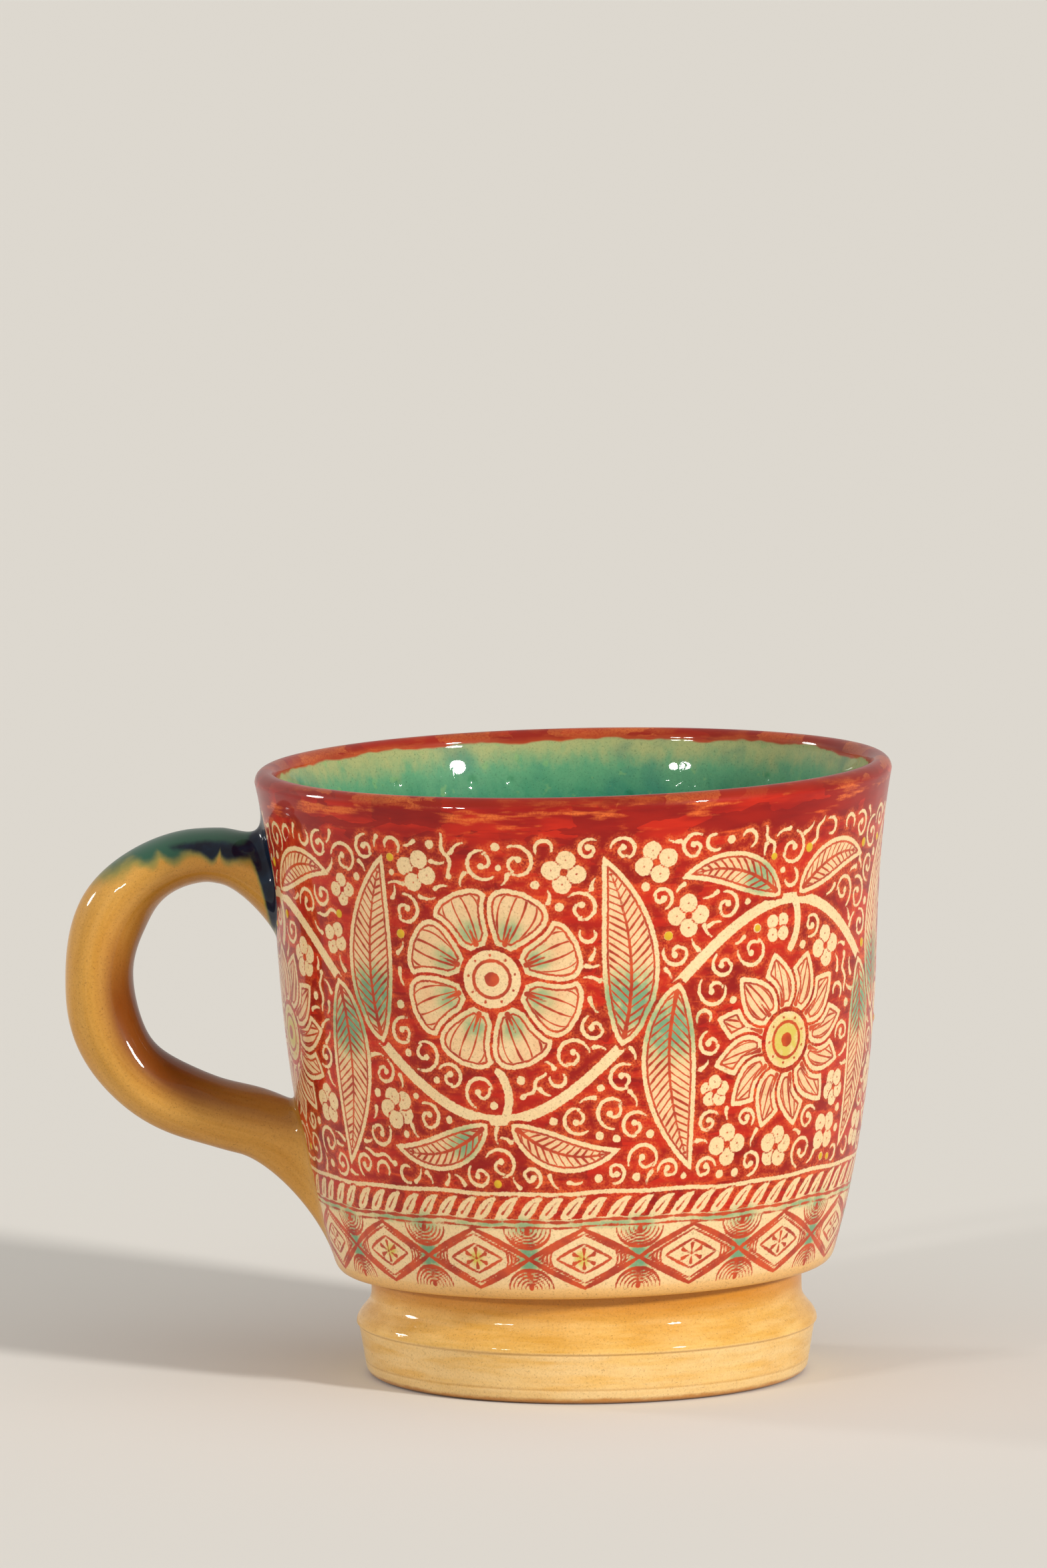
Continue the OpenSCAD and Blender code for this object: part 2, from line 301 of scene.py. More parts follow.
def blade(art, path, half_width, outline, gap=0.5, chevrons=0.0, fan=0):
    """A leaf or petal along a path, hatched with chevrons at a spacing or with a fan of so many gaps."""
    path = np.asarray(path, float)
    lengths = way_along(path)
    t = np.linspace(0, 1, BLADE_STEPS + 1)
    spine = np.stack([np.interp(t * lengths[-1], lengths, path[:, k]) for k in (0, 1)], axis=-1)
    heading = np.gradient(spine, axis=0)
    heading /= np.hypot(*heading.T)[:, None]
    side = np.stack([-heading[:, 1], heading[:, 0]], axis=-1) * (half_width * outline(t))[:, None]
    at, x, y = art.window(spine, half_width + FAR)
    shape = depth_in(np.vstack([spine + side, (spine - side)[::-1]]), x, y)
    share, far, hand, length = along(path, x, y)
    if fan:
        width = np.maximum(half_width * outline(share), 0.3)
        art.add(at, shape, gap, hand * far / width * fan / 2, 2 * width / fan)
    elif chevrons:
        hatch = (share * length - CHEVRON_LEAN * far) / chevrons
        art.add(at, shape, gap, hatch, chevrons * CHEVRON_GAP)
    else:
        art.add(at, shape, gap)
    return at, share, far, shape


# Motifs of the field
def leaf(art, path, half_width, green=0.9):
    """A leaf with a midrib, side veins, a heavier stroke at its root, and a green wash at its base."""
    at, share, far, shape = blade(art, path, half_width, pointed, chevrons=1.2)
    rib = np.where((share > 0.05) & (share < 0.9), 0.3 * (1 - share * 0.6) - far, -FAR)
    art.merge("ink", at, np.where(shape > 0.3, rib, -FAR))
    drop(art, "ink", path[1:len(path) // 3], 0.9, 0.2)
    base = np.asarray(path[len(path) // 4])
    art.wash("green", *base, half_width * 1.05, green)


# Dots round a flower's eye, and gaps between the lines of its petals
EYE_DOTS = 9
PETAL_LINES = 5


def rosette(art, x, y, radius, petals, turn, outline, green=0.0, ochre=0.0):
    """A round flower: hatched petals round a ringed eye."""
    middle = np.array([x, y])
    root = radius * 0.36
    reach = radius * sin(pi / petals) * 0.86
    for k in range(petals):
        angle = turn + tau * k / petals
        ray = aim(angle)
        petal = [middle + ray * root * 0.8, middle + ray * radius]
        blade(art, petal, reach, outline, gap=0.45, fan=PETAL_LINES)
        drop(art, "ink", [middle + ray * root * 1.12, middle + ray * radius * 0.62], 0.85, 0.15)
        if green:
            art.wash("green", *(middle + ray * root * 1.5), radius * 0.17, green)
    at, px, py = art.window([middle], root + FAR)
    far = np.hypot(px - x, py - y)
    art.add(at, root * 0.86 - far, 0.7)
    art.merge("ink", at, 0.24 - np.abs(far - root * 0.55))
    for k in range(EYE_DOTS):
        angle = turn + tau * (k + 0.5) / EYE_DOTS
        dot(art, "ink", *(middle + root * 0.71 * aim(angle)), 0.22)
    dot(art, "ink", x, y, root * 0.22)
    if ochre:
        art.wash("ochre", x, y, root * 0.9, ochre)


def floret(art, x, y, radius, petals, turn):
    """A small flower of round petals with a red eye."""
    for k in range(petals):
        angle = turn + tau * k / petals
        at, px, py = art.window([(x, y)], radius + FAR)
        cx, cy = (x, y) + radius * 0.56 * aim(angle)
        art.add(at, radius * 0.42 - np.hypot(px - cx, py - cy), gap=0.22)
        dot(art, "ink", cx, cy, 0.16)
    dot(art, "ink", x, y, radius * 0.17)


def spiral(x, y, reach, angle):
    """Points round x, y at these reaches and angles."""
    return np.stack([x + reach * np.cos(angle), y + reach * np.sin(angle)], axis=-1)


# Least radius at which a curl winds on to an inner hook and a dot
WOUND_R = 1.5


def curl(art, x, y, radius, turn, way):
    """A hook that winds in round its own dot."""
    angle = np.linspace(0, 1.32 * pi, 18)
    reach = radius - (radius * 0.34) * angle / angle[-1]
    stroke(art, "reserve", spiral(x, y, reach, turn + way * angle), 0.56, 0.24)
    if radius > WOUND_R:
        inner = np.linspace(0, 1.1 * pi, 10)
        reach = radius * (0.52 - 0.3 * inner / inner[-1])
        path = spiral(x, y, reach, turn + way * 1.25 * pi + way * inner)
        stroke(art, "reserve", path, 0.48, 0.26)
        dot(art, "reserve", *path[-1], 0.46)


def hook(art, x, y, room, turn, way):
    """A small comma, fat at one end and bent."""
    reach = min(room - 0.4, 1.15)
    middle, ray, bend = np.array([x, y]), aim(turn) * reach, aim(turn + way * 2.1) * reach * 0.55
    drop(art, "reserve", curve(middle + ray, middle + bend, middle - ray, steps=6), 0.74, 0.24)


def wisp(art, x, y, length, turn, sway):
    """A short wavy stroke with a dot at one end."""
    t = np.linspace(-0.5, 0.5, 14)
    bend = sway * np.sin(t * 3.2 * pi) * (0.6 + 0.4 * t)
    path = np.stack([
        x + t * length * cos(turn) - bend * sin(turn),
        y + t * length * sin(turn) + bend * cos(turn)], axis=-1)
    stroke(art, "reserve", path, 0.54, 0.3)
    dot(art, "reserve", *path[-1], 0.44)
    return path


# The field: a running vine round the cup, with a flower in each bay
BAYS = 6
BAY = TURN / BAYS
VINE_Z = 41.0
VINE_RISE = 14.6
VINE_W = 1.5
BAY_STEPS = 24
FIRST_BAY = -0.27 * BAY
FLOWER_RISE = 5.4


def vine(art):
    """The stem that runs round the cup, drawn a bay at a time and a little past its own start."""
    past = 4
    t = np.arange(-past, BAYS * BAY_STEPS + past + 1) / BAY_STEPS
    path = np.stack([FIRST_BAY + t * BAY, VINE_Z - VINE_RISE * np.cos(pi * t)], axis=-1)
    for start in range(0, len(path) - BAY_STEPS, BAY_STEPS):
        stretch = path[start:start + BAY_STEPS + 1]
        at, x, y = art.window(stretch, FAR)
        _, far, _, _ = along(stretch, x, y)
        art.merge("reserve", at, VINE_W / 2 - far)


def bay(art, index, rng):
    """One bay: its flower on a stalk, two long leaves at its sides and two short ones at the bend."""
    way = 1 if index % 2 == 0 else -1
    middle = FIRST_BAY + index * BAY

    def place(*points):
        return [np.array([middle + px, VINE_Z + way * py]) for px, py in points]

    stem = place((0.8, -VINE_RISE), (2.8, -11.0), (0.4, -7.6))
    stroke(art, "reserve", curve(*stem), 1.2)
    for hand in (1, -1):
        root = -VINE_RISE * cos(pi * 17.5 / BAY)
        long_leaf = curve(*place((hand * 17.8, root + 0.3), (hand * 21.8, 9.0), (hand * 15.6, 22.6)))
        leaf(art, long_leaf, 4.0, 0.95)
        bend = (hand * 9.0, -VINE_RISE - 7.4)
        short_leaf = curve(*place((hand * 1.8, -VINE_RISE - 0.5), bend, (hand * 17.6, -18.8)))
        leaf(art, short_leaf, 2.7, 0.0 if hand > 0 else 0.75)
    cx, cy = place((0, FLOWER_RISE))[0]
    turn = rng.uniform(0, pi)
    if index % 2 == 0:
        rosette(art, cx, cy, 13.2, 8, turn, rounded, green=0.6)
    else:
        rosette(art, cx, cy, 12.8, 12, turn, pointed, ochre=0.9)


# Clear room that the fillings of the ground need, and how often each is taken where it fits
LEAST_ROOM, CURL_ROOM, FLORET_ROOM = 1.15, 1.75, 2.9
FLORET_SHARE, WISP_SHARE, HOOK_SHARE = 0.42, 0.45, 0.62
WISP_TURNS = 7


def fill(art, rng):
    """Fills the ground between the motifs, widest gap first, with florets, wisps, curls, hooks and dots."""
    reserve = art.layers["reserve"]
    zone = np.nonzero((art.up > FIELD_LOW) & (art.up < FIELD_TOP))[0]
    edge = np.minimum(art.up[zone] - FIELD_LOW, FIELD_TOP - art.up[zone])[:, None] + 0.9
    beads = []
    while True:
        room = np.minimum(-reserve[zone], edge)
        row, column = np.unravel_index(np.argmax(room), room.shape)
        free = room[row, column]
        if free < LEAST_ROOM:
            return beads
        x, y = art.across[column], art.up[zone[row]]
        turn = rng.uniform(0, tau)
        way = rng.choice([-1, 1])
        if free > FLORET_ROOM and rng.random() < FLORET_SHARE:
            floret(art, x, y, min(free - 0.6, 3.1), int(rng.choice([4, 5])), turn)
        elif free > CURL_ROOM:
            length = rng.uniform(4.6, 6.6)
            tries = [turn + k * pi / WISP_TURNS for k in range(WISP_TURNS)]
            spare = [min(art.room(x + s * length * cos(a), y + s * length * sin(a))
                         for s in (-0.5, -0.25, 0.25, 0.5)) for a in tries]
            if max(spare) > LEAST_ROOM and rng.random() < WISP_SHARE:
                path = wisp(art, x, y, length, tries[int(np.argmax(spare))], 0.55)
                beads.append(path[-1])
            else:
                curl(art, x, y, min(free - 0.5, 2.5), turn, way)
        elif rng.random() < HOOK_SHARE:
            hook(art, x, y, free, turn, way)
        else:
            dot(art, "reserve", x, y, max(min(free - 0.72, 0.62), 0.38))
            beads.append((x, y))


# The border: a roped band over a chain of lozenges
LOZENGES = 15
LOZENGE_W = TURN / LOZENGES
LOZENGE_Z = 6.4
LOZENGE_H = 4.3
STRANDS = 78
ROPE_LOW, ROPE_HIGH = 12.3, 15.3


def border(art, rng):
    """The roped band between its lines, and the lozenges under it."""
    x, y = np.meshgrid(art.across, art.up)
    every = np.ix_(range(len(art.up)), range(len(art.across)))
    wave = 0.16 * np.sin(x * tau * 8 / TURN) + 0.1 * np.sin(x * tau * 21 / TURN)
    art.merge("reserve", every, 0.3 - np.abs(y - ROPE_HIGH - 0.65 - wave))
    for k in range(STRANDS):
        left = (k + rng.uniform(-0.06, 0.06)) * TURN / STRANDS
        path = curve((left, ROPE_LOW + 0.1), (left + 1.9, ROPE_LOW + 0.5), (left + 2.0, ROPE_HIGH - 0.5),
                     (left + 4.0, ROPE_HIGH), steps=8)
        blade(art, path, 0.88, pointed, gap=0.3)
        drop(art, "ink", path[2:7], 0.42, 0.14)
    art.merge("reserve", every, ROPE_LOW - y + wave)
    art.merge("ink", every, 0.16 + 0.12 * np.sin(x * 0.9) ** 2 - np.abs(y - ROPE_LOW + 0.35 - wave))
    art.merge("ink", every, 0.1 + 0.1 * np.cos(x * 0.7) ** 2 - np.abs(y - ROPE_LOW + 1.2 - wave))
    tint = 0.6 * np.exp(-((y - ROPE_LOW + 0.8) / 0.75) ** 2)
    art.merge("green", every, tint * (0.7 + 0.3 * np.sin(x * 0.36)))
    for k in range(LOZENGES):
        lozenge(art, k * LOZENGE_W, rng)


def lozenge(art, x, rng):
    """A lozenge of nested lines with a small flower, and half roundels over and under its corner."""
    half, rise = LOZENGE_W / 2, LOZENGE_H
    middle = np.array([x, LOZENGE_Z])
    corners = [middle + c for c in ((-half, 0), (0, rise), (half, 0), (0, -rise), (-half, 0))]
    for scale, width in ((1.0, 0.86), (0.83, 0.4), (0.5, 0.48)):
        for a, b in zip(corners, corners[1:]):
            start, end = middle + (a - middle) * scale, middle + (b - middle) * scale
            bow = (start + end) / 2 + (middle - (start + end) / 2) * rng.uniform(-0.12, 0.02)
            stroke(art, "ink", curve(start, bow, end, steps=8), width, width * 0.5)
    rays = 6
    for k in range(rays):
        angle = (k + 0.5) * tau / rays
        ray = aim(angle) * (1.15, 0.85)
        drop(art, "ink", [middle + ray * 1.55, middle + ray * 0.55], 0.72, 0.24)
    dot(art, "ink", *middle, 0.26)
    for hand in (1, -1):
        for k in range(3):
            out, up = hand * half * (0.56 + 0.07 * k), rise * (0.3 - 0.055 * k)
            bend = [middle + (out, -up), middle + (out + hand * 0.8, 0), middle + (out, up)]
            stroke(art, "ink", curve(*bend, steps=8), 0.36, 0.2)
    corner = np.array([x + half, LOZENGE_Z])
    for way in (1, -1):
        base = corner + (0, way * (rise + 0.1))
        for k, reach in enumerate((3.9, 3.2, 2.5, 1.8, 1.1)):
            angle = np.linspace(0, pi, 14)
            path = base + reach * np.stack([0.95 * np.cos(angle), -0.72 * way * np.sin(angle)], axis=-1)
            stroke(art, "ink", path, 0.55 if k == 0 else 0.32, 0.18)
        dot(art, "ink", base[0], base[1] - way * 0.25, 0.45)
    art.wash("green", corner[0], corner[1], 1.9, 1.1, 1.5)
    art.wash("green", corner[0], corner[1] + rise + 0.4, 3.2, 0.6, 0.6)
    if rng.random() < 0.4:
        art.wash("ochre", x + rng.uniform(-1, 1), LOZENGE_Z, 1.5, 0.8)


# Materials
class Shade:
    """The nodes of one material, or of the world, with short calls for the sums and textures in them."""

    def __init__(self, name, store=bpy.data.materials):
        self.owner = store.new(name)
        self.owner.use_nodes = True
        self.tree = self.owner.node_tree
        self.tree.nodes.clear()
        self.where = self.node("TexCoord").outputs["Object"]

    def node(self, kind, inputs=(), **settings):
        """A node. Its inputs, by name or number, are links, numbers or colour codes."""
        made = self.tree.nodes.new("ShaderNode" + kind)
        for key, value in settings.items():
            setattr(made, key, value)
        for key, value in dict(inputs).items():
            if isinstance(value, bpy.types.NodeSocket):
                self.tree.links.new(value, made.inputs[key])
            else:
                made.inputs[key].default_value = colour(value) if isinstance(value, str) else value
        return made

    def maths(self, operation, *values, clamp=False):
        return self.node("Math", enumerate(values), operation=operation, use_clamp=clamp).outputs[0]

    def plus(self, first, second):
        return self.maths("ADD", first, second)

    def minus(self, first, second):
        return self.maths("SUBTRACT", first, second)

    def times(self, first, second, clamp=False):
        return self.maths("MULTIPLY", first, second, clamp=clamp)

    def swing(self, noise, reach):
        """A noise as a shift to both sides of nothing."""
        return self.times(self.minus(noise, 0.5), reach)

    def ease(self, value, low, high, start=0.0, end=1.0):
        inputs = enumerate((value, low, high, start, end))
        return self.node("MapRange", inputs, interpolation_type="SMOOTHSTEP").outputs[0]

    def mix(self, share, first, second):
        return self.node("Mix", {0: share, 6: first, 7: second}, data_type="RGBA").outputs[2]

    def value(self, name):
        return self.node("Attribute", attribute_name=name).outputs["Fac"]

    def stretched(self, size, aspect):
        """Places on the mug, in units of size millimetres stretched by aspect."""
        scale = [1 / (size * MM * a) for a in aspect]
        return self.node("Mapping", {"Vector": self.where, "Scale": scale}).outputs[0]

    def noise(self, size, detail=2.0, rough=0.5, aspect=(1, 1, 1), seed=0.0, at=None):
        """Noise whose blots are about size millimetres, stretched by aspect, or over another place."""
        where = at or self.stretched(size, aspect)
        inputs = {"Vector": where, "Scale": 1.0, "W": seed, "Detail": detail, "Roughness": rough}
        return self.node("TexNoise", inputs, noise_dimensions="4D").outputs["Fac"]

    def patches(self, size, aspect, seed):
        """A random number for each of the brush-sized patches, with square ends."""
        ragged = self.times(self.noise(size * 0.35, 3.0, 0.6, (3, 3, 1), seed), 0.7)
        place = self.node("VectorMath", {0: self.stretched(size, aspect), 1: ragged}, operation="ADD")
        inputs = {"Vector": place.outputs[0], "Scale": 1.0, "W": seed}
        made = self.node("TexVoronoi", inputs, voronoi_dimensions="4D", distance="CHEBYCHEV")
        return self.node("SeparateColor", {0: made.outputs["Color"]}).outputs[0]

    def surface(self, kind, inputs):
        """The finished material, with one shader as its surface."""
        self.node("OutputMaterial", {"Surface": self.node(kind, inputs).outputs[0]})
        return self.owner

    def glaze(self, base, height):
        """Clay or slip under a clear glaze, with a relief in millimetres."""
        lift = self.node("Bump", {"Strength": 1.0, "Distance": MM, "Height": height}).outputs[0]
        return self.surface("BsdfPrincipled", {
            "Base Color": base, "Roughness": 0.42, "IOR": 1.5, "Specular IOR Level": 0.05, "Normal": lift,
            "Coat Weight": 0.52, "Coat Roughness": 0.03, "Coat IOR": 1.5, "Coat Normal": lift})


def specks(s, base, size, dark, strength):
    """The clay's fine sandy grain, and dark iron specks in it."""
    sand = s.noise(0.27, 2.0, 0.7, seed=3.5)
    base = s.mix(s.ease(sand, 0.4, 0.8, 0.0, 0.5 * strength), base, dark)
    grain = s.noise(size, 1.0, 0.6, seed=3.0)
    return s.mix(s.times(s.ease(grain, 0.6, 0.72), 0.8 * strength), base, dark)


def waviness(s, amount=0.05):
    """Height, in millimetres, of the glaze's slight unevenness."""
    broad = s.times(s.noise(7.0, 1.0), amount * 2.2)
    fine = s.times(s.noise(1.6, 1.0, seed=4.0), amount * 0.2)
    return s.plus(broad, fine)


def red_slip(s, height):
    """Iron-red slip in flat strokes, orange and grainy where the brush ran dry, and its grain."""
    broad = s.noise(2.2, 2.0, 0.55, (4.2, 4.2, 1.0), 1.0)
    hairs = s.noise(0.42, 3.0, 0.6, (16, 16, 1.0), 5.0)
    grain = s.noise(0.3, 2.0, 0.7, seed=6.0)
    patch = s.patches(5.2, (1.7, 1.7, 0.7), 2.0)
    base = s.mix(s.ease(broad, 0.34, 0.66), "#981006", "#BE220A")
    base = s.mix(s.ease(hairs, 0.52, 0.75, 0.0, 0.5), base, "#840D05")
    base = s.mix(s.times(s.ease(patch, 0.56, 0.62), 0.62), base, "#7D0805")
    dry = s.noise(2.0, 3.0, 0.6, (5.0, 5.0, 1.0), 7.0)
    lip = s.ease(height, 65.5, 71.0)
    dry = s.plus(dry, s.times(lip, 0.075))
    dry = s.times(s.ease(dry, 0.58, 0.7), s.ease(s.plus(hairs, grain), 0.8, 1.15, 0.35, 1.0))
    return s.mix(dry, base, s.mix(lip, "#DE5622", "#DC6A2B")), grain


def green_inside(s, depth):
    """Copper green glaze: pale olive under the lip, deeper and bluer below, with soft runs and specks."""
    runs = s.noise(6.0, 3.0, 0.5, (1.0, 1.0, 1.8), 7.0)
    cloud = s.noise(9.0, 3.0, 0.55, seed=8.0)
    drips = s.noise(1.7, 3.0, 0.65, (1.0, 1.0, 1.7), 17.0)
    depth = s.plus(depth, s.swing(runs, 6.0))
    depth = s.plus(depth, s.swing(drips, 4.5))
    base = s.mix(s.ease(depth, 1.8, 6.2), "#A0A46C", "#5A966C")
    base = s.mix(s.ease(depth, 5.0, 11.5), base, "#297C5A")
    base = s.mix(s.times(s.ease(cloud, 0.5, 0.68), 0.5), base, "#267060")
    pale = s.times(s.ease(s.noise(2.1, 2.0, seed=9.0), 0.62, 0.72), 0.45)
    base = s.mix(pale, base, "#7FA766")
    rust = s.ease(s.noise(2.6, 1.0, seed=10.0), 0.745, 0.775)
    base = s.mix(rust, base, "#C98F45")
    return specks(s, base, 0.3, "#1C4A34", 0.42)


# Half the width over which a painted edge turns from one colour to the other
EDGE = 0.07

# The line inside the rim of a hatched shape: how far in its middle is, and half its width
RIM_IN, RIM_HALF = 0.78, 0.15


def cream_clay(s, height):
    """Cream clay with its sandy grain, honey-coloured towards the cup's bottom."""
    cream = s.mix(s.noise(6.0, 3.0, seed=13.0), "#F1D6A6", "#E5C28D")
    cream = s.mix(s.ease(height, 5.0, -0.5), cream, "#E0A654")
    return specks(s, cream, 0.3, "#7A5C36", 0.55)


def hatching(s, clay, reserve, worn):
    """The clay under the pale red wash of the leaves and petals, and the fine lines drawn in them."""
    pitch = s.value("pitch")
    line = s.times(s.maths("ABSOLUTE", s.minus(s.maths("FRACT", s.value("hatch")), 0.5)), pitch)
    pen = s.ease(worn, 0.3, 0.75, 0.07, 0.2)
    within = s.times(s.maths("GREATER_THAN", pitch, 0.32), s.ease(reserve, 0.82, 1.0))
    wash = s.times(within, s.ease(worn, 0.25, 0.8, 0.06, 0.32))
    lines = s.times(within, s.ease(s.minus(pen, line), -EDGE, 0.05))
    rim = s.minus(RIM_HALF, s.maths("ABSOLUTE", s.minus(reserve, RIM_IN)))
    rim = s.times(s.maths("GREATER_THAN", pitch, 0.01), s.ease(rim, -EDGE, 0.06))
    return s.mix(wash, clay, "#D77A48"), s.maths("MAXIMUM", lines, rim)


def washes(s, base):
    """The base under soft washes of green and yellow, and the strength of the green."""
    blot = s.noise(1.5, 3.0, 0.6, seed=14.0)
    green = s.times(s.value("green"), s.ease(blot, 0.2, 0.6, 0.45, 1.15), clamp=True)
    wet = s.mix(s.ease(green, 0.3, 0.95), "#9FB07A", "#3F8F6C")
    base = s.mix(s.ease(green, 0.05, 0.6, 0.0, 0.85), base, wet)
    ochre = s.times(s.value("ochre"), s.ease(blot, 0.2, 0.7, 0.5, 1.1), clamp=True)
    return s.mix(s.ease(ochre, 0.15, 0.75, 0.0, 0.85), base, "#C9B53F"), green


def red_ground(s, height, reserve, green):
    """Red slip, thin and orange next to the reserves and duller under the green washes, and its grain."""
    ground, grain = red_slip(s, height)
    halo = s.ease(s.times(reserve, -1.0), 0.95, 0.12)
    halo = s.times(halo, s.ease(s.noise(2.2, 3.0, 0.65, (1.6, 1.6, 1.0), 15.0), 0.34, 0.64))
    halo = s.times(halo, s.ease(grain, 0.4, 0.58, 0.12, 1.1))
    ground = s.mix(s.times(halo, 0.85), ground, "#DC5F2B")
    return s.mix(s.ease(green, 0.35, 0.9, 0.0, 0.5), ground, "#5D6B3C"), grain


def fired_crest(s, base, height, grain):
    """The base, and on the lip's crest slip that ran thin and fired brown, with tan strokes."""
    strokes = s.patches(4.5, (1.5, 1.5, 1.0), 17.0)
    tan = s.times(s.ease(strokes, 0.62, 0.7), s.ease(grain, 0.35, 0.6, 0.45, 1.0))
    fired = s.mix(tan, "#7E1C08", "#A95526")
    return s.mix(s.ease(height, 70.5, 71.6, 0.0, 0.72), base, fired)


def painted_glaze():
    """Cream clay, red slip round the reserves, fine red lines, soft washes, and clear glaze over all."""
    s = Shade("painted_glaze")
    height, depth = s.value("height"), s.value("inside")
    rag = s.swing(s.noise(0.5, 2.0, 0.65, seed=11.0), 0.42)
    reserve = s.plus(s.value("reserve"), rag)
    ink = s.plus(s.value("ink"), s.times(rag, 0.7))
    worn = s.noise(2.8, 2.0, 0.6, seed=12.0)

    base, lines = hatching(s, cream_clay(s, height), reserve, worn)
    base, green = washes(s, base)
    drawn = s.maths("MAXIMUM", lines, s.ease(ink, -EDGE, EDGE))
    pen_red = s.mix(s.ease(worn, 0.3, 0.72), "#C94012", "#9C1405")
    base = s.mix(s.times(drawn, 0.94), base, pen_red)

    ground, grain = red_ground(s, height, reserve, green)
    base = s.mix(s.ease(reserve, -EDGE, EDGE), ground, base)
    base = fired_crest(s, base, height, grain)
    base = s.mix(s.ease(s.value("bead"), -0.06, 0.08), base, "#CFA526")

    # Inside the lip the red ends in a ragged edge over the green
    ragged = s.plus(depth, s.swing(s.noise(7.0, 2.0, 0.6, seed=16.0), 2.6))
    base = s.mix(s.ease(ragged, 0.5, 1.5, 0.0, 0.7), base, "#A8451C")
    base = s.mix(s.ease(ragged, 1.35, 1.75), base, green_inside(s, depth))

    # The glaze waves, less so inside, and lies a little lower over the reserves than over the slip
    wave = s.times(waviness(s), s.ease(depth, -1.0, 2.0, 1.0, 0.25))
    relief = s.plus(wave, s.times(s.ease(reserve, -0.2, 0.2), -0.012))
    return s.glaze(base, relief)


def lining_glaze():
    """The green inside under calmer glaze."""
    s = Shade("green_lining_glaze")
    return s.glaze(green_inside(s, s.value("inside")), waviness(s, 0.0125))


def honey(s):
    """Bare clay the colour of honey under the clear glaze, streaked by the wheel or the hand."""
    streak = s.noise(1.3, 3.0, 0.6, (7, 7, 1.0), 21.0)
    cloud = s.noise(11.0, 2.0, seed=22.0)
    base = s.mix(s.ease(streak, 0.25, 0.75), "#D9A548", "#EBC074")
    return s.mix(s.ease(cloud, 0.35, 0.7, 0.0, 0.4), base, "#CB9138")


def foot_glaze():
    """Honey clay: deeper orange in the neck as painted shade under the cup, paler on the band, and chalky
    and scuffed at the bottom edge.
    """
    s = Shade("foot_glaze")
    height = s.value("height")
    # Painted shade: the neck under the cup's overhang is mixed towards a deep orange, most at its top
    base = s.mix(s.ease(height, 10.2, 14.4, 0.0, 0.72), honey(s), "#BE7509")
    drift = s.noise(2.2, 3.0, 0.6, (7.0, 7.0, 1.0), 23.0)
    pale = s.times(s.ease(height, 7.7, 7.2), s.ease(drift, 0.34, 0.62, 0.15, 0.9))
    base = s.mix(pale, base, "#E7C487")

    ragged = s.plus(height, s.swing(s.noise(3.0, 3.0, 0.6, seed=24.0), 1.1))
    base = s.mix(s.ease(ragged, 2.3, 1.8, 0.0, 0.5), base, "#DDBF8A")
    base = s.mix(s.ease(ragged, 1.05, 0.5, 0.0, 0.85), base, "#BD7D36")
    base = s.mix(s.ease(height, 0.4, 0.1, 0.0, 0.6), base, "#7A4A1E")
    # A darker line in each groove: partly glaze pooled in it, partly painted shade of the crease
    for groove in FOOT_GROOVES:
        near = s.maths("ABSOLUTE", s.minus(height, groove))
        base = s.mix(s.ease(near, 0.22, 0.03, 0.0, 0.26), base, "#A2702C")
    base = specks(s, base, 0.26, "#6A431A", 0.42)

    fine = s.times(s.noise(0.8, 2.0, 0.5, (30, 30, 1.0), 25.0), 0.012)
    sandy = s.times(s.noise(0.4, 1.0, seed=26.0), 0.006)
    return s.glaze(base, s.plus(waviness(s, 0.035), s.plus(fine, sandy)))


def handle_glaze():
    """Honey clay streaked along the coil, browner inside the loop as pooled glaze and painted shade, under
    the run of dark glaze.
    """
    s = Shade("handle_glaze")
    up, near, way = s.value("up"), s.value("near"), s.value("along")
    place = s.node("CombineXYZ", enumerate((s.times(up, 3.4), s.times(near, 4.6), s.times(way, 0.055))))
    streak = s.noise(1.0, 3.0, 0.55, seed=31.0, at=place.outputs[0])
    base = s.mix(s.ease(streak, 0.3, 0.7), "#C68F38", "#D09B49")
    base = s.mix(s.ease(s.noise(13.0, 2.0, seed=32.0), 0.4, 0.7, 0.0, 0.35), base, "#BF822F")
    # Inside the loop, most at its bow, the clay is mixed towards a deep brown. This is partly glaze pooled
    # there and partly painted shade where the cup keeps the light off the loop.
    within = s.ease(s.plus(up, s.times(streak, 0.22)), 0.4, -0.42)
    bow = s.times(s.ease(way, 10.0, 32.0, 0.06, 1.0), s.ease(way, 46.0, 66.0, 1.0, 0.55))
    base = s.mix(s.times(within, s.times(bow, 0.94)), base, "#703204")
    base = specks(s, base, 0.26, "#5A3412", 0.45)

    # The run: translucent olive at its edge, copper green where it is thick, and blue-black under that
    soft = s.swing(s.noise(1.5, 2.0, 0.55, seed=33.0), 0.34)
    run = s.plus(s.value("run"), soft)
    dark = s.plus(s.value("dark"), soft)
    base = s.mix(s.ease(run, 0.2, 0.62, 0.0, 0.85), base, "#7E7F42")
    base = s.mix(s.ease(run, 0.5, 1.0), base, "#2D5643")
    ink = s.mix(s.ease(s.noise(2.2, 2.0, seed=35.0), 0.35, 0.7), "#090E20", "#102236")
    base = s.mix(s.ease(dark, 0.3, 0.85), base, ink)
    return s.glaze(base, waviness(s))


# Cup: rows of its mesh for the underside, bottom corner, wall, crest and inner skin
UNDER_ROWS, HEEL_ROWS, WALL_ROWS, CREST_ROWS, INNER_ROWS = 26, 18, 280, 26, 30

# Raised beads of the painting, and their height
BEADS, BEAD_H = 44, 0.16


def fanned(cast, centre, start, end, rows):
    """Points that rays from a centre meet, from one angle to another."""
    return [cast(centre, aim(a)) for a in np.linspace(start, end, rows)]


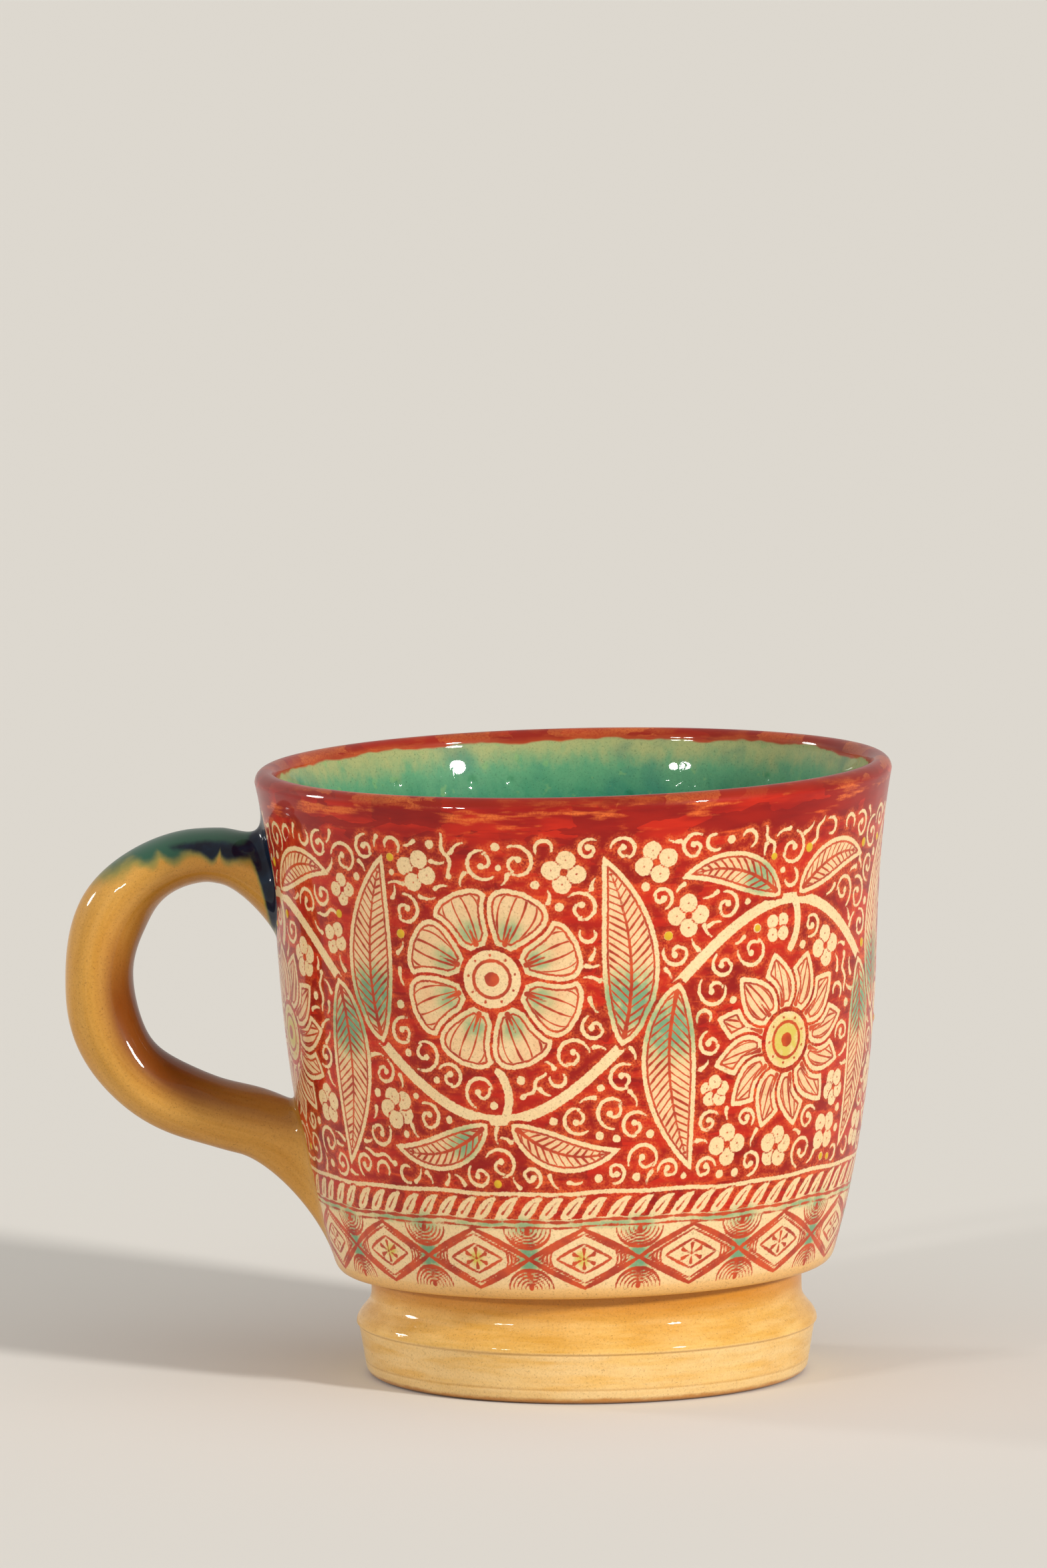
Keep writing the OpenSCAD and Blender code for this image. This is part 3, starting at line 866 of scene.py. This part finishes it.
def cup_profile(cast):
    """Points from the underside out, up and over the lip to the inner skin, and each one's depth inside."""
    under = [cast((r, BELOW), (0, 1)) for r in np.linspace(DISC_R, HEEL_R, UNDER_ROWS)[:-1]]
    heel = fanned(cast, (HEEL_R, HEEL_Z), -pi / 2, 0, HEEL_ROWS)
    wall = outside(cast, np.linspace(HEEL_Z, LIP_Z, WALL_ROWS)[1:])
    crest = fanned(cast, (RIM_R - LIP_R, LIP_Z), 0, pi, CREST_ROWS)[1:]
    inner_z = np.linspace(LIP_Z, RIM_END, INNER_ROWS)[1:]
    left = np.clip(1 - (LIP_Z - inner_z) / LINING_FADE, 0, 1)
    inner = np.array(inside(cast, inner_z)) - np.outer(LINING_T * (1 - left ** 2), (1, 0))
    outer_count = len(under + heel + wall) + len(crest) // 2
    profile = np.array(under + heel + wall + crest + list(inner))
    depth = np.where(np.arange(len(profile)) < outer_count, -FAR, CUP_H - profile[:, 1])
    return profile, depth


def painted(heights):
    """The painting over a grid with rows at these heights."""
    rng = np.random.default_rng(7)
    art = Painting(COLUMNS, heights)
    vine(art)
    for index in range(BAYS):
        bay(art, index, rng)
    border(art, rng)
    ends = fill(art, rng)
    for x, y in rng.permutation(np.array(ends))[:BEADS]:
        dot(art, "bead", x % TURN, y, rng.uniform(0.5, 0.75))
    return art.layers


def cup_piece():
    profile, depth = cup_profile(section("cup_body", CUP))
    layers = painted(profile[:, 1])
    swell = BEAD_H * eased(layers["bead"], -0.25, 0.45)

    # Height for the colours, a step lower on the underside and a step higher on the wall
    radius, up = profile.T
    height = np.where(radius < HEEL_R, -0.5, up) + np.where(up > HEEL_Z, 0.5, 0)
    values = dict(layers, height=height[:, None], inside=depth[:, None])
    piece = grid_object("painted_cup", turned(profile, COLUMNS, swell), CUP, values, painted_glaze(), [0])
    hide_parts("cup_body")
    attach(piece, "root")


# Lining: rows and columns of its mesh, and how far over the floor its wall is read
LINING_ROWS, FLOOR_ROWS, LINING_COLUMNS = 130, 60, 360
WALL_END = 4.0

# Rings of the thrower's fingers: their spacing, that of finer ones, and half the height of the first
RINGS, FINE_RINGS, RING_H = 4.3, 2.9, 0.09


def lining_piece():
    """The lining, tucked behind the lip's skin, with the rings that the thrower's fingers left."""
    cast = section("green_lining", CUP)
    wall = inside(cast, np.linspace(RIM_END + TUCK_H, FLOOR_TOP + WALL_END, LINING_ROWS))
    floor = [cast((r, ABOVE), (0, -1)) for r in np.linspace(wall[-1][0] - 0.5, DISC_R, FLOOR_ROWS)]
    profile = np.array(wall + floor)
    angle = np.arange(LINING_COLUMNS) * tau / LINING_COLUMNS
    depth = CUP_H - profile[:, 1]
    turns = tau * way_along(profile)[:, None]
    rings = np.sin(turns / RINGS + angle) + 0.5 * np.sin(turns / FINE_RINGS)
    fade = eased(depth, 12.5, 23.0) * eased(profile[:, 0], 1.0, 6.0)
    tucked = TUCK * eased(profile[:, 1], RIM_END - TUCK_H, RIM_END)
    swell = tucked[:, None] - RING_H * fade[:, None] * (rings + 1.5)
    points = turned(profile, LINING_COLUMNS, swell)
    piece = grid_object("green_inside", points, CUP, {"inside": depth[:, None]}, lining_glaze(), [-1])
    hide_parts("green_lining")
    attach(piece, "root")


# Foot: rows and columns of its mesh for the outer side, rest face and hollow
OUTER_ROWS, REST_ROWS, HOLLOW_ROWS, FOOT_COLUMNS = 160, 8, 24, 480

# Heights between which the easing of its bends sets in, and its reach
EASE_LOW, EASE_HIGH, EASE_REACH = 8.8, 10.0, 0.9

# Where it is read: outside down to a height, its rest face in to a radius, and its hollow from a height up
EDGE_Z, REST_R, HOLLOW_Z = 0.12, 26.9, 0.8

# How far the neck goes on into the cup
NECK_IN = 0.7


def softened(profile):
    """The profile with its upper bends rounded off, but not at its top end."""
    radius, up = profile.T
    weight = np.exp(-((up[:, None] - up) / EASE_REACH) ** 2)
    smooth = weight @ radius / weight.sum(axis=1)
    share = eased(up, EASE_LOW, EASE_HIGH) * (1 - eased(up, up.max() - EASE_REACH, up.max()))
    return np.stack([radius + share * (smooth - radius), up], axis=-1)


def foot_piece():
    cast = section("foot_ring", LEVEL)
    outer = softened(np.array(outside(cast, np.linspace(NECK_TOP, EDGE_Z, OUTER_ROWS))))
    for groove in FOOT_GROOVES:
        outer[:, 0] -= GROOVE_DEEP * np.exp(-((outer[:, 1] - groove) / GROOVE_HALF) ** 2)
    rest = [cast((r, BELOW), (0, 1)) for r in np.linspace(outer[-1][0] - 0.5, REST_R, REST_ROWS)]
    bore = inside(cast, np.linspace(HOLLOW_Z, NECK_TOP, HOLLOW_ROWS))
    sunk = np.array([0.0, NECK_IN])
    profile = np.vstack([outer[0] + sunk, outer, rest, bore, bore[-1] + sunk])[::-1]
    points = turned(profile, FOOT_COLUMNS)
    piece = grid_object("turned_foot", points, LEVEL, {"height": profile[:, 1:2]}, foot_glaze())
    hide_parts("foot_ring")
    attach(piece, "root")


# Handle: sizes and curve handles of the coil, in the cup's frame
TOP_ROOT_Z, TOP_ANGLE = 55.4, radians(46)
LOW_ROOT_Z, LOW_ANGLE = 19.3, radians(21)
BOW_Z, BOW_REACH = 42.4, 25.5
ROOT_IN = 0.97
TOP_PULL, ARCH_PULL, BELLY_PULL, LOW_PULL = 0.5, 1.28, 0.83, 0.46
COIL_T, ARCH_T, ROOT_T = 9.8, 7.5, 9.4
COIL_W, ARCH_W = 12.2, 13.4

# Shares of the upper curve between which the coil grows full, and up to which it thins from its root
FULL_LOW, FULL_HIGH, ROOT_SHARE = 0.4, 0.8, 0.36

# Steps along each of the two curves, and the turns of the points round a section, from its outer side
SPINE_STEPS = 130
RING = 120
RING_TURNS = np.arange(RING) * tau / RING

# Footprints of the roots on the wall, and how far they go into it
TONGUE_END_Z = 2.6
TOP_FOOT = dict(z=TOP_ROOT_Z + 0.6, outer=11.0, inner=-8.2, side=8.0)
LOW_FOOT = dict(z=LOW_ROOT_Z, outer=TONGUE_END_Z - LOW_ROOT_Z, inner=6.8, side=8.2)
ROOT_DEEP = 0.5

# Length of the coil that each root takes up, and the lengths that the roots count for along the handle
ROOT_CUT = 9.5
TOP_LENGTH, LOW_LENGTH = 9.0, 18.0


def wall_at(cast, z):
    """Radius of the cup's outer side at a height."""
    return cast((OUT_R, z), (-1, 0))[0]


def coil_spine(cast):
    """The coil's middle line, from its upper root over the arch and round the bow to its lower root."""
    top = np.array([-wall_at(cast, TOP_ROOT_Z) * ROOT_IN, TOP_ROOT_Z])
    low = np.array([-wall_at(cast, LOW_ROOT_Z) * ROOT_IN, LOW_ROOT_Z])
    bow = np.array([-wall_at(cast, BOW_Z) - BOW_REACH, BOW_Z])
    up, down = aim(pi - TOP_ANGLE), aim(pi - LOW_ANGLE)
    arch = bow + (0, (TOP_ROOT_Z - BOW_Z) * ARCH_PULL)
    belly = bow - (0, (BOW_Z - LOW_ROOT_Z) * BELLY_PULL)
    upper = curve(top, top + up * BOW_REACH * TOP_PULL, arch, bow, steps=SPINE_STEPS)
    lower = curve(bow, belly, low + down * BOW_REACH * LOW_PULL, low, steps=SPINE_STEPS)
    return np.vstack([upper, lower[1:]])


def coil_ring(spine, i):
    """One oval section of the coil: points round it, from its outer side over its near side."""
    heading = spine[min(i + 1, len(spine) - 1)] - spine[max(i - 1, 0)]
    heading = heading / np.hypot(*heading)
    side = np.array([-heading[1], heading[0]])
    share = i / SPINE_STEPS
    full = eased(share, FULL_LOW, FULL_HIGH)
    root = 1 - eased(share, 0.0, ROOT_SHARE)
    half_t = (ARCH_T + (COIL_T - ARCH_T) * full + (ROOT_T - ARCH_T) * root) / 2
    half_w = (ARCH_W + (COIL_W - ARCH_W) * full) / 2
    across = spine[i] - side * half_t * np.cos(RING_TURNS)[:, None]
    return np.stack([across[:, 0], -half_w * np.sin(RING_TURNS), across[:, 1]], axis=-1), heading


def wall_ring(cast, z, outer, inner, side, grow):
    """An egg-shaped ring on the wall, with its reach up from z on the coil's outer and inner side."""
    grow = grow * (1 + 0.035 * np.sin(3 * RING_TURNS + 0.8) + 0.02 * np.sin(5 * RING_TURNS + z))
    lift = np.cos(RING_TURNS)
    height = z + np.abs(lift) * np.where(lift > 0, outer, inner) * grow
    radius = np.array([wall_at(cast, h) for h in height])
    spread = -side * np.sin(RING_TURNS) * grow / radius
    return np.stack([-radius * np.cos(spread), radius * np.sin(spread), height], axis=-1)


def root_rings(cast, foot, ring, heading, pull, rest, steps):
    """Rings that carry a section on to its foot, straight over pull at first and flat over rest at last."""
    footprint, inner = (wall_ring(cast, **foot, grow=grow) for grow in (1.0, 0.8))
    start = np.array([heading[0], 0, heading[1]])
    outward = footprint - inner
    outward = outward / np.linalg.norm(outward, axis=1)[:, None]
    bends = [ring, ring + start * pull, footprint - outward * rest, footprint]
    return [bezier(bends, t) for t in np.linspace(0, 1, steps + 1)[1:]] + [footprint + (ROOT_DEEP, 0, 0)]


def uneven(points, way):
    """The handle moved in and out a little, as by the hand that pulled it, though not at its roots."""
    pulled = 0.14 * np.sin(way * 0.23) * np.sin(RING_TURNS) + 0.1 * np.sin(way * 0.41 + 2 * RING_TURNS)
    end = way[-1, 0] - LOW_LENGTH
    held = eased(way, 0, 6) * eased(way, end, end - 6)
    out = points - points.mean(axis=1, keepdims=True)
    return points + out / np.linalg.norm(out, axis=2, keepdims=True) * (pulled * held)[:, :, None]


# Spacing of the drips in which the dark glaze hangs down
DRIPS = 3.9


def glaze_run(way, top):
    """Thickness of the green and of the blue-black glaze, by the way along and the height up a section."""
    drips = np.abs(np.sin(pi * (way / DRIPS + 0.25 * np.sin(way * 0.8)))) ** 0.8
    drips = drips * (0.75 + 0.25 * np.sin(way * 1.3 + 1.0))
    drips = drips + (0.6 - drips) * eased(way, 9.0, 14.0)
    edge = 0.26 - 0.42 * drips + 0.7 * eased(way, 3.0, 16.0) - 1.15 * eased(way, -3.6, -7.4)
    edge = edge + 2.0 * eased(way, 13.0, 24.0)
    run = 0.5 + (1.4 - 0.75 * eased(way, 6.0, 19.0)) * (top - edge)
    under_top = 0.5 + 2.6 * (0.7 - top) + 2.0 * eased(way, -2.0, -7.0)
    dark = np.minimum(0.35 + 2.0 * (top - edge) - 1.6 * eased(way, 3.2, 8.5), under_top)
    return np.clip(run, 0, 1.2), np.clip(dark, 0, 1.2)


def handle_piece():
    cast = section("cup_body", CUP)
    spine = coil_spine(cast)
    length = way_along(spine)
    first = int(np.searchsorted(length, ROOT_CUT))
    last = int(np.searchsorted(length, length[-1] - ROOT_CUT))
    rings, headings = zip(*[coil_ring(spine, i) for i in range(first, last + 1)])
    top = np.cos(RING_TURNS)
    over = np.clip(top, 0, 1)[:, None]
    upper = root_rings(cast, TOP_FOOT, rings[0], -headings[0], pull=3.4, rest=1.4 + 4.4 * over, steps=30)
    lower = root_rings(cast, LOW_FOOT, rings[-1], headings[-1], pull=4.5, rest=2.2 + 5.0 * over, steps=40)
    way = np.concatenate([
        np.linspace(-TOP_LENGTH, 0, len(upper), endpoint=False),
        length[first:last + 1] - length[first],
        length[last] - length[first] + np.linspace(0, LOW_LENGTH, len(lower))])[:, None]
    points = uneven(np.array(upper[::-1] + list(rings) + lower), way)
    run, dark = glaze_run(way, top)
    values = dict(run=run, dark=dark, along=way, up=top, near=np.sin(RING_TURNS))
    piece = grid_object("glazed_handle", points, CUP, values, handle_glaze())
    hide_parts("handle", "upper_collar", "lower_tongue")
    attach(piece, "root")


# Studio
def pale_floor():
    bpy.ops.mesh.primitive_plane_add(size=8.0, location=(0, 0, 0))
    floor = bpy.context.object
    floor.name = "floor"
    floor.data.materials.append(Shade("pale_floor").surface("BsdfDiffuse", {"Color": "#DDDAD4"}))


def studio_world():
    """A pale background for the camera, also in and through the glaze, and a plain light on all else."""
    s = Shade("studio", bpy.data.worlds)
    path = s.node("LightPath").outputs
    seen = s.maths("MAXIMUM", path["Is Camera Ray"], path["Is Glossy Ray"])
    seen = s.maths("MAXIMUM", seen, path["Is Transmission Ray"])
    light = s.node("Background", {"Color": (1.0, 0.985, 0.96, 1.0), "Strength": 0.32}).outputs[0]
    pale = s.node("Background", {"Color": "#C6C3BE", "Strength": 1.0}).outputs[0]
    both = s.node("MixShader", {0: seen, 1: light, 2: pale}).outputs[0]
    s.node("OutputWorld", {"Surface": both})
    bpy.context.scene.world = s.owner


# Lamps: azimuth to the right of the viewer, elevation, strength and apparent size. Angles are in degrees
LAMPS = {
    "key": (49, 21, 2.75, 6.6),
    "fill_left": (-48, 17.5, 0.45, 3.8),
    "fill_right": (-42.5, 17.5, 0.45, 3.8),
    "side": (-112, 20, 0.6, 9.0),
    "top": (20, 74, 0.7, 70.0)}


def lamp(name, azimuth, elevation, strength, size):
    """A distant lamp. The one from above has no reflection of its own."""
    data = bpy.data.lights.new(name, "SUN")
    data.energy = strength
    data.angle = radians(size)
    data.color = (1.0, 0.975, 0.94)
    made = bpy.data.objects.new(name, data)
    az, el = radians(azimuth), radians(elevation)
    place = Vector((sin(az) * cos(el), -cos(az) * cos(el), sin(el)))
    made.location = place * 2
    made.rotation_mode = "QUATERNION"
    made.rotation_quaternion = (-place).to_track_quat("-Z", "Y")
    made.visible_glossy = name != "top"
    bpy.context.scene.collection.objects.link(made)


# Camera: the photograph's place in metres, tilt in radians, and focal length in its pixels
EYE = (0, -1.8, 0.29057)
PITCH, ROLL, YAW = 0.11438, -0.00878, -0.00462
FOCAL_PX, IMAGE_H, SENSOR = 19218.1, 2349, 36.0


def camera():
    ahead = Vector((sin(YAW) * cos(PITCH), cos(YAW) * cos(PITCH), -sin(PITCH)))
    right = Vector((cos(YAW), -sin(YAW), 0))
    up = right.cross(ahead)
    tilted = cos(ROLL) * right + sin(ROLL) * up
    top = -sin(ROLL) * right + cos(ROLL) * up
    data = bpy.data.cameras.new("camera")
    data.sensor_width = SENSOR
    data.lens = FOCAL_PX / IMAGE_H * SENSOR
    data.clip_start, data.clip_end = 0.05, 30.0
    made = bpy.data.objects.new("camera", data)
    made.matrix_world = Matrix.Translation(EYE) @ Matrix((tilted, top, -ahead)).transposed().to_4x4()
    bpy.context.scene.collection.objects.link(made)
    bpy.context.scene.camera = made


camera()
cup_piece()
lining_piece()
foot_piece()
handle_piece()
pale_floor()
studio_world()
for name, values in LAMPS.items():
    lamp(name, *values)
bpy.context.scene.view_settings.view_transform = "Standard"
